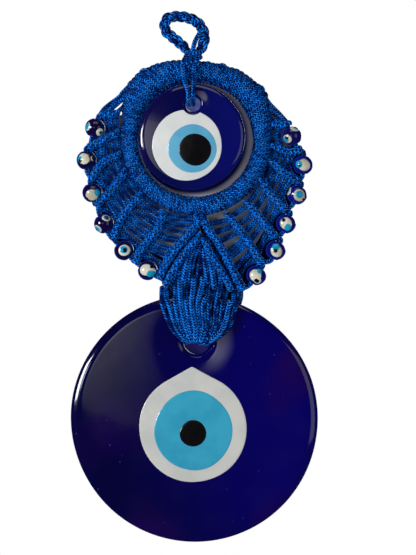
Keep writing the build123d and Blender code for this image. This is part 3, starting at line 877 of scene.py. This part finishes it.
def teardrop_outline(circle, tip, wobble, seed):
    """Circle that draws out to a soft point at the tip."""
    a, r = outline(circle[2], wobble, seed, 220)
    reach = math.hypot(tip[0] - circle[0], tip[1] - circle[1])
    lean = math.atan2(tip[1] - circle[1], tip[0] - circle[0])
    off = np.abs((a - lean + np.pi) % (2 * np.pi) - np.pi)
    limit = math.acos(circle[2] / reach)
    tangent = circle[2] / np.cos(np.clip(limit - off, 0, None))
    r = np.where(off < limit, np.minimum(tangent, reach) + (r - circle[2]), r)
    return np.stack([circle[0] + r * np.cos(a), circle[1] + r * np.sin(a)], axis=1)


def bitten_outline(circle, centre, bite_r, wobble, seed):
    """Circle with a round bite taken out of it."""
    away = circle_outline(circle, wobble, seed, 220) - np.array(centre)
    gap = np.linalg.norm(away, axis=1)
    push = np.where(gap < bite_r, bite_r / np.maximum(gap, 1e-6), 1.0)
    return np.array(centre) + away * push[:, None]


def place_layer(piece, disc, layer):
    """Puts a layer of glass on its disc's body, for the CAD node of that layer."""
    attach(piece, f"{disc.name}_disc")
    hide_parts(f"{disc.name}_disc_{layer}")


def make_disc(disc, glass, seed, layers):
    """A disc and its eye. Each layer has its outline, middle, lift, depth, softness and material."""
    place_layer(drilled_disc(disc, glass, seed), disc, "glass")
    for (name, layer, slot), (edge_points, middle, *settings) in zip(EYE_LAYERS, layers):
        place_layer(inlay(name, disc, edge_points, middle, *settings), disc, layer)


EYE_LAYERS = (
    ("white", "white", "white_glass"),
    ("light_blue", "iris", "light_blue_glass"),
    ("pupil", "pupil", "black_glass"),
)
WHITE, IRIS, PUPIL = (-1.7, -163.0, 30.4), (-1.4, -164.4, 22.4), (-1.6, -165.9, 7.7)
make_disc(BIG, BIG_GLASS, 3, (
    (teardrop_outline(WHITE, (-2.2, -128.2), 0.35, 5), WHITE[:2], 0.3, 1.2, 1.0, BIG_WHITE),
    (circle_outline(IRIS, 0.3, 8), IRIS[:2], 0.5, 1.0, 1.0, BIG_IRIS),
    (circle_outline(PUPIL, 0.15, 9), PUPIL[:2], 0.75, 0.8, 0.9, BLACK),
))
WHITE, IRIS, PUPIL = (-5.0, -3.8, 19.7), (-2.0, -5.7, 13.7), (-0.4, -6.3, 9.2)
make_disc(SMALL, SMALL_GLASS, 13, (
    (bitten_outline(WHITE, SMALL.hole, 6.2, 0.25, 15), WHITE[:2], 0.25, 0.8, 0.8, SMALL_WHITE),
    (circle_outline(IRIS, 0.2, 16), IRIS[:2], 0.42, 0.7, 0.8, SMALL_IRIS),
    (circle_outline(PUPIL, 0.15, 17), PUPIL[:2], 0.62, 0.6, 0.7, BLACK),
))

# ---------------------------------------------------------------- strands that carry the small disc

strands = Cords()
STRAND_R = 1.32
for top, neck, hole_x in ((-7.3, -6.7, -4.4), (-1.0, -1.1, -1.5)):
    strands.cord(
        [
            at(top, 43.5, -5.0), at(top, 38.6, -7.2), at(neck, 33.0, -8.6),
            at(hole_x, 26.4, SMALL.y - 4.8), at(hole_x * 0.96, 21.8, SMALL.y - 4.4),
            at(hole_x * 0.88, 19.6, SMALL.y - 1.0), at(hole_x * 0.9, 20.2, SMALL.y + 3.4),
            at(hole_x, 24.5, SMALL.y + 5.2), at(hole_x, 28.8, SMALL.y + 6.6),
            at(hole_x, 32.0, 5.4), at(hole_x, 38.0, 7.0),
        ],
        STRAND_R,
    )
pair = strands.build("small_disc_strand_pair")
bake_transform(pair)
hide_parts("small_disc_strands")

# ---------------------------------------------------------------- gathered cords that carry the large disc

# Each strand on the front, from the knotted V down over the disc to its hole: its place at four heights.
GATHER = [
    [(-19.2, -86.5), -18.6, -13.8, (-8.3, -113.4)],
    [(-17.0, -87.4), -15.0, -11.0, (-6.6, -113.6)],
    [(-11.4, -85.4), -11.4, -8.3, (-5.0, -113.9)],
    [(-9.1, -80.0), -8.3, -5.6, (-3.4, -113.9)],
    [(-5.8, -87.4), -5.2, -3.0, (-1.8, -114.2)],
    [(-1.4, -80.6), -2.4, -0.4, (-0.3, -114.4)],
    [(3.7, -80.0), 0.9, 2.2, (1.2, -114.6)],
    [(6.6, -86.8), 4.2, 4.8, (2.8, -115.4)],
    [(9.6, -88.4), 7.6, 7.5, (4.3, -116.0)],
    [(13.8, -80.8), 11.6, 10.2, (5.9, -116.0)],
    [(16.4, -86.4), 15.2, 12.9, (7.4, -115.6)],
    [(21.2, -89.6), 18.9, 15.6, (9.0, -114.6)],
    [(24.6, -87.6), 22.6, 18.4, (10.6, -113.8)],
]
GATHER_Z = (-93.8, -106.0)
GATHER_R = 1.6
gather = Cords()
for k, (top, upper_x, lower_x, end) in enumerate(GATHER):
    over = 0.5 * (k % 2) + 0.25 * (k % 3)
    aside = end[0] - BIG.hole[0]
    hole_x = BIG.hole[0] + aside * 0.62
    hole_z = -112.4 - 0.012 * aside**2
    gather.cord(
        [
            at(top[0], top[1] + 2.6, 3.0), at(top[0], top[1] + 1.2, -0.4),
            at(top[0], top[1] - 1.6, -2.4 - over), at(upper_x, GATHER_Z[0], -6.1 - over),
            at(lower_x, GATHER_Z[1], -6.4 - over), at(end[0], end[1] + 1.5, -6.1 - over),
            at(hole_x, hole_z - 1.0, -3.4), at(hole_x * 0.9, hole_z, 0.0),
            at(hole_x, hole_z + 0.4, 3.8), at(end[0] * 0.95, end[1] + 4.0, 6.3),
            at(lower_x + 1.2, GATHER_Z[1], 6.7 + 0.5 * over),
            at(upper_x + 1.6, GATHER_Z[0], 6.5 + 0.5 * over),
            at(top[0] * 0.96 + 1.7, -86.0, 4.2), at(top[0] * 0.8 + 2.0, -79.0, 4.4),
            at(top[0] * 0.6 + 2.6, -71.0 - 2.0 * (k % 2), 3.6),
        ],
        GATHER_R,
    )
gathered = gather.build("gathered_strands")
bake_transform(gathered)
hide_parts("gather_front", "gather_back", "gather_bundle", "gather_bend")

DROPS = [
    [(-2.6, -62.0), (-8.8, -73.0), (-12.6, -80.4)],
    [(1.0, -58.0), (-4.8, -70.0), (-7.4, -82.4)],
    [(2.4, -57.4), (-1.8, -68.0), (-3.9, -82.7)],
    [(3.6, -58.4), (2.2, -69.0), (1.0, -78.0)],
    [(4.4, -59.6), (5.4, -70.0), (6.9, -81.4)],
    [(5.8, -61.4), (8.8, -71.6), (10.4, -82.7)],
    [(8.0, -65.0), (12.6, -74.6), (15.0, -80.4)],
]
# Drop cord tones: random variety, with tone 0 on the middle cord, set back, as painted shade.
DROP_TONE_AND_SHADE = (0.5, 0.75, 0.35, 0.0, 0.4, 0.8, 0.3)
PLAIT_R, TIE_R = 1.85, 1.4
drops = Cords()
for k, line in enumerate(DROPS):
    front = 0.8 if k == 3 else -0.6 - 0.9 * (k % 2)
    (x, z), end = line[1:]
    drop = [at(*line[0], 1.0), at(x, z, front), at(*end, front), at(end[0], end[1] - 1.4, 2.2)]
    drops.cord(drop, PLAIT_R, braid=0.14, tone=DROP_TONE_AND_SHADE[k])
for side, ribs in RIBS.items():
    for k in range(14):
        share = 0.02 + 0.07 * k
        a = at(*point_along(ribs[6], min(1.0, share + 0.12)), 1.6)
        b = at(*point_along(ribs[7], share), 1.6)
        # The ties between ribs 7 and 8 take tone 0: painted shade in that valley.
        drops.cord([a, (a + b) / 2 + (0, rng.normal(0, 0.2), 0), b], TIE_R, tone=0.0)
drops.build("short_drop_cords", "macrame", "gather_drops")

# ---------------------------------------------------------------- hanging loop and its knot

LOOP = [
    (-2.6, 46.6), (-6.6, 52.4), (-12.4, 57.6), (-16.2, 60.6), (-17.8, 64.2), (-16.4, 68.6), (-11.6, 70.0),
    (-5.4, 69.4), (-0.4, 67.4), (2.9, 64.2), (4.6, 60.0), (4.4, 55.2), (2.2, 50.4), (-1.0, 46.6),
]
PLAIT_PITCH = 14.1
loop_cords = Cords()
core = smooth([at(x, z) for x, z in LOOP], 0.3)
_, n, b = frames(core)
length = np.concatenate([[0], np.cumsum(np.linalg.norm(np.diff(core, axis=0), axis=1))])
spread = np.clip(np.minimum(length, length[-1] - length) / 8.0, 0.45, 1.0)
for strand in range(3):
    turn = 2 * np.pi * (length / PLAIT_PITCH + strand / 3)
    side_off = 1.75 * spread * np.sin(turn)
    depth_off = 1.15 * spread * np.sin(2 * turn)
    loop_cords.sweep(even(core + side_off[:, None] * b + depth_off[:, None] * n, CORD_STEP), 1.55)
inner = [(3.4, 62.4, -0.6), (1.2, 58.8, -1.8), (-0.6, 55.2, -2.2), (-1.6, 51.0, -2.4), (-1.8, 46.8, -2.2)]
loop_cords.cord([at(*p) for p in inner], 1.45)
loop = loop_cords.build("plaited_hanging_loop")
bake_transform(loop)
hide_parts("hanging_loop", "loop_inner_strand", "loop_base_cords")

knot = Cords()
for x in (-6.9, -4.4, -1.9, 0.6):
    top = -1.9 + (x + 3.0) * 0.8
    over = [(top, 47.4, 2.6), (top, 49.0, 0.4), (top, 47.6, -2.6), (x, 44.2, -4.9)]
    over += [(x * 1.04, 41.4, -5.5), (x * 1.06, 38.6, -4.4)]
    knot.cord([at(*p) for p in over], 1.42)
for z, wide in ((48.4, 3.9), (46.0, 4.5)):
    turns = np.linspace(0, 2 * np.pi, 26)
    knot.cord([at(-1.9 + wide * math.cos(a), z + 0.9 * math.cos(a), -3.3 * math.sin(a)) for a in turns])
# Small loops of cord that stand off the ring's outer edge: degrees round it and distance from its centre.
NUBS = ((111, 45.2), (70, 43.6), (128, 48.2), (38, 46.2), (24, 44.0))
for degrees, r in NUBS:
    out = np.array([math.cos(math.radians(degrees)), math.sin(math.radians(degrees))])
    beside = np.array([-out[1], out[0]])
    nub = []
    for a in np.linspace(0, np.pi, 8):
        nub.append(at(*(out * (r + 1.5 * math.sin(a)) + beside * 1.9 * math.cos(a)), 0.6 * math.cos(a)))
    knot.cord(nub, 1.25)
knot.build("loop_knot_cords", "macrame", "loop_knot")


# ---------------------------------------------------------------- camera, light and stage

camera_data = bpy.data.cameras.new("camera")
camera = bpy.data.objects.new("camera", camera_data)
bpy.context.scene.collection.objects.link(camera)
camera.location = (0.0148, -0.9, -0.1445)
camera.rotation_euler = (math.radians(90), 0, 0)
camera_data.lens = 102.96
camera_data.sensor_width = 36
bpy.context.scene.camera = camera
bpy.context.scene.view_settings.view_transform = "Standard"


def area_light(name, place, size, power):
    """A soft white light out in the room that looks at the middle of the ornament."""
    data = bpy.data.lights.new(name, "AREA")
    data.shape = "RECTANGLE"
    data.size, data.size_y = size
    data.energy = power
    obj = bpy.data.objects.new(name, data)
    bpy.context.scene.collection.objects.link(obj)
    obj.location = place
    look = np.array((0.008, 0.0, -0.15)) - np.array(place, float)
    obj.rotation_euler = Vector(look).to_track_quat("-Z", "Y").to_euler()


area_light("key", (-1.15, -0.85, 0.05), (0.45, 0.45), 15.5)
area_light("top", (0.1, -0.5, 0.9), (0.9, 0.6), 2.0)
area_light("fill", (0.9, -0.8, -0.1), (0.6, 0.8), 1.2)
area_light("back", (0.5, 1.1, 0.3), (0.8, 0.8), 5.0)

world = bpy.data.worlds.new("studio")
bpy.context.scene.world = world
world.use_nodes = True
tree = world.node_tree
tree.nodes.clear()
path = tree.nodes.new("ShaderNodeLightPath")


def background(strength):
    """White surroundings of that strength."""
    node = tree.nodes.new("ShaderNodeBackground")
    node.inputs[0].default_value = (1, 1, 1, 1)
    node.inputs[1].default_value = strength
    return node.outputs[0]


def choose(factor, when_no, when_yes):
    """One of two shaders, by a factor of 0 or 1."""
    node = tree.nodes.new("ShaderNodeMixShader")
    tree.links.new(factor, node.inputs[0])
    tree.links.new(when_no, node.inputs[1])
    tree.links.new(when_yes, node.inputs[2])
    return node.outputs[0]


dim = choose(path.outputs["Is Glossy Ray"], background(0.14), background(0.02))
world_out = tree.nodes.new("ShaderNodeOutputWorld")
tree.links.new(choose(path.outputs["Is Camera Ray"], dim, background(1.0)), world_out.inputs[0])
SHADOW_WIDTH, SHADOW_RIM = 3.4, 4.5


def backdrop_material(name, colour, glow=0.0, shade_above=None, shadow=None):
    """Matt card that only shows its front, with a painted glow of the strength glow.

    Above the height shade_above it takes painted shade, darker and more navy, with less glow. The shadow,
    given as its middle and radius in millimetres, is a painted soft shadow without glow: navy round the
    radius, fading out beyond it, and grey well inside it.
    """
    g = Graph(name)
    tint = g.mix(g.noise(40.0), colour, tuple(c * 0.85 for c in colour[:3]) + (1.0,))
    # Painted shade above the height shade_above.
    if shade_above is not None:
        level = g.span(g.split(g.place())[2], shade_above - 0.012, shade_above + 0.006, 1.0, 0.6)
        tint = g.mix(level, srgb(22, 24, 88), tint)
        glow = g.times(level, glow)
    # Painted soft shadow round the given middle.
    if shadow is not None:
        (x, _, z), radius = shadow
        place = g.split(g.place())
        away = g.hypot(g.math("SUBTRACT", place[0], x * MM), g.math("SUBTRACT", place[2], z * MM))
        level = g.span(away, radius * MM, (radius + SHADOW_WIDTH) * MM)
        rim = g.span(away, (radius - SHADOW_RIM) * MM, (radius - 1.0) * MM)
        tint = g.mix(rim, srgb(112, 112, 126), g.mix(level, srgb(14, 17, 70), tint))
        glow = g.times(level, glow)
    # The emission is a painted glow that keeps the card light.
    matt = g.add("ShaderNodeBsdfDiffuse", {"Color": tint}).outputs[0]
    lit = g.add("ShaderNodeEmission", {"Color": colour, "Strength": glow}).outputs[0]
    card = g.add("ShaderNodeAddShader", {0: matt, 1: lit}).outputs[0]
    clear = g.add("ShaderNodeBsdfTransparent").outputs[0]
    side = g.add("ShaderNodeNewGeometry").outputs["Backfacing"]
    return g.show(g.add("ShaderNodeMixShader", {0: side, 1: card, 2: clear}).outputs[0])


def backing(name, outlines, y, material, body):
    """Cards behind the ornament, seen only through its gaps and cut to stay behind the cords: pale ones for
    the wall, dark ones as painted shade.
    """
    verts, faces = [], []
    for points in outlines:
        turn = sum(a[0] * b[1] - b[0] * a[1] for a, b in zip(points, points[1:] + points[:1]))
        if turn < 0:
            points = points[::-1]
        faces.append(tuple(range(len(verts), len(verts) + len(points))))
        verts += [at(x, z, y) for x, z in points]
    card = make_mesh(name, verts, faces, material, False)
    card.visible_diffuse = False
    card.visible_glossy = False
    card.visible_shadow = False
    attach(card, body)


def circle_points(centre, radius):
    """Layout points round a circle."""
    turns = np.linspace(0, 2 * np.pi, 64, endpoint=False)
    return [(centre[0] + radius * math.cos(a), centre[1] + radius * math.sin(a)) for a in turns]


# Gap cards are the wall between the ribs; edge cards, near the beads and between the last two ribs, and the V
# card are dark sheets of painted shade.
CARD_SPLIT = 0.74
gap_cards, edge_cards = [], []
for side, ribs in RIBS.items():
    for gap in range(7):
        upper, lower = ribs[gap], ribs[gap + 1]
        if gap == 6:
            edge_cards.append(upper + lower[::-1])
            continue
        on_ring = [tuple(40.0 * np.array(p) / np.hypot(*p)) for p in (lower[0], upper[0])]
        near = [k / 4 * CARD_SPLIT for k in range(5)]
        far = [CARD_SPLIT, (1 + CARD_SPLIT) / 2, 1.0]
        gap_cards.append([point_along(upper, k) for k in near])
        gap_cards[-1] += [point_along(lower, k) for k in near[::-1]] + on_ring
        bead, along = np.array(BEADS[side][gap]), bead_run(side, gap)
        between = [tuple(bead - along), tuple(bead), tuple(bead + along)]
        edge_cards.append([point_along(upper, k) for k in far] + between)
        edge_cards[-1] += [point_along(lower, k) for k in far[::-1]]
gap_cards.append([(43.0, 19.0), (47.0, 13.6), (50.0, 9.0), (43.0, 8.0), (40.0, 14.0)])
v_card = [(2.6, -42.0), RIBS["left"][7][-1], (-16.5, -90.4), (-8.0, -89.6), (12.0, -89.6), (21.5, -92.6),
          RIBS["right"][6][-1], (5.2, -50.0)]
backing("gap_backing", gap_cards, 3.4, backdrop_material("gap_wall", srgb(152, 158, 158)), "macrame")
# Dark sheets of painted shade among the cords near the beads, between ribs 7 and 8, and inside the V.
backing("edge_backing", edge_cards, 3.5, backdrop_material("edge_shade", srgb(8, 18, 58)), "macrame")
backing("v_backing", [v_card], 3.6, backdrop_material("v_shade", srgb(16, 18, 40)), "macrame")
# The wall inside the ring: painted glow, painted shade above the height -0.08 m, and a painted shadow round
# the small disc.
ring_wall = backdrop_material("ring_wall", srgb(170, 168, 184), 0.16, -0.08, (at(*SMALL.centre), 30.2))
backing("ring_backing", [circle_points((0, 0), 33.0)], 4.4, ring_wall, "macrame")
# Cards seen through the discs' holes: blue-tinted painted shade with a painted glow.
hole_shade_glow = backdrop_material("hole_shade_glow", srgb(44, 38, 104), 0.25)
backing("hole_backing", [circle_points(BIG.hole, 9.0)], 5.4, hole_shade_glow, "large_disc")
hole_shade_glow = backdrop_material("small_hole_shade_glow", srgb(108, 118, 190), 0.22)
backing("small_hole_backing", [circle_points(SMALL.hole, 5.0)], SMALL.y + 3.2, hole_shade_glow, "small_disc")


def panel(name, centre, across, up, emission):
    """A glowing panel out in the room that only shows as a reflection in the glass."""
    centre, across, up = (np.array(v) * 1000 for v in (centre, across, up))
    corners = [centre - across - up, centre + across - up, centre + across + up, centre - across + up]
    card = make_mesh(name, corners, [(0, 1, 2, 3)], emission, False)
    card.visible_camera = False
    card.visible_diffuse = False
    card.visible_shadow = False


def sheen_material(strength):
    """Soft glow, brightest at its upper left."""
    g = Graph("sheen_glow")
    x, _, z = g.split(g.add("ShaderNodeTexCoord").outputs["Generated"])
    level = g.times(g.span(x, 0.25, 1.0, 1.0, 0.0), g.plus(0.3, g.span(z, 0.1, 0.75)))
    edge = g.times(g.span(x, 0.0, 0.1), g.span(z, 1.0, 0.85))
    level = g.times(level, g.times(edge, strength))
    return g.show(g.add("ShaderNodeEmission", {"Color": (1.0, 0.95, 0.9, 1.0), "Strength": level}).outputs[0])


def pane_material(name, colour, strength):
    """A window pane seen as a reflection, with faint cloud across it."""
    g = Graph(name)
    level = g.span(g.noise(9.0), 0.2, 0.8, strength * 0.7, strength)
    return g.show(g.add("ShaderNodeEmission", {"Color": colour, "Strength": level}).outputs[0])


panel("sheen", (-0.25, -1.6, -0.09), (0.2, 0, -0.08), (0.06, 0, 0.24), sheen_material(1.7))
pane = pane_material("window_pane", (0.8, 0.93, 1.0, 1.0), 9.0)
panel("window", (-0.7, -0.9, -0.06), (0.05, -0.04, 0), (0, 0, 0.08), pane)


def floor_material():
    """Pale matt floor that takes the soft shadow under the ornament and fades to white around it."""
    g = Graph("floor_paint")
    x, y, _ = g.split(g.place())
    paint = g.mix(g.noise(12.0), srgb(232, 232, 232), srgb(240, 240, 240))
    matt = g.add("ShaderNodeBsdfDiffuse", {"Color": paint}).outputs[0]
    glow = g.add("ShaderNodeEmission", {"Strength": 1.0}).outputs[0]
    fade = g.span(g.hypot(x, y), 0.03, 0.085)
    return g.show(g.add("ShaderNodeMixShader", {0: fade, 1: matt, 2: glow}).outputs[0])


corners = [(x, y, -318) for x, y in ((-900, -1500), (900, -1500), (900, 500), (-900, 500))]
floor = make_mesh("floor", corners, [(0, 1, 2, 3)], floor_material(), False)
floor.visible_glossy = False
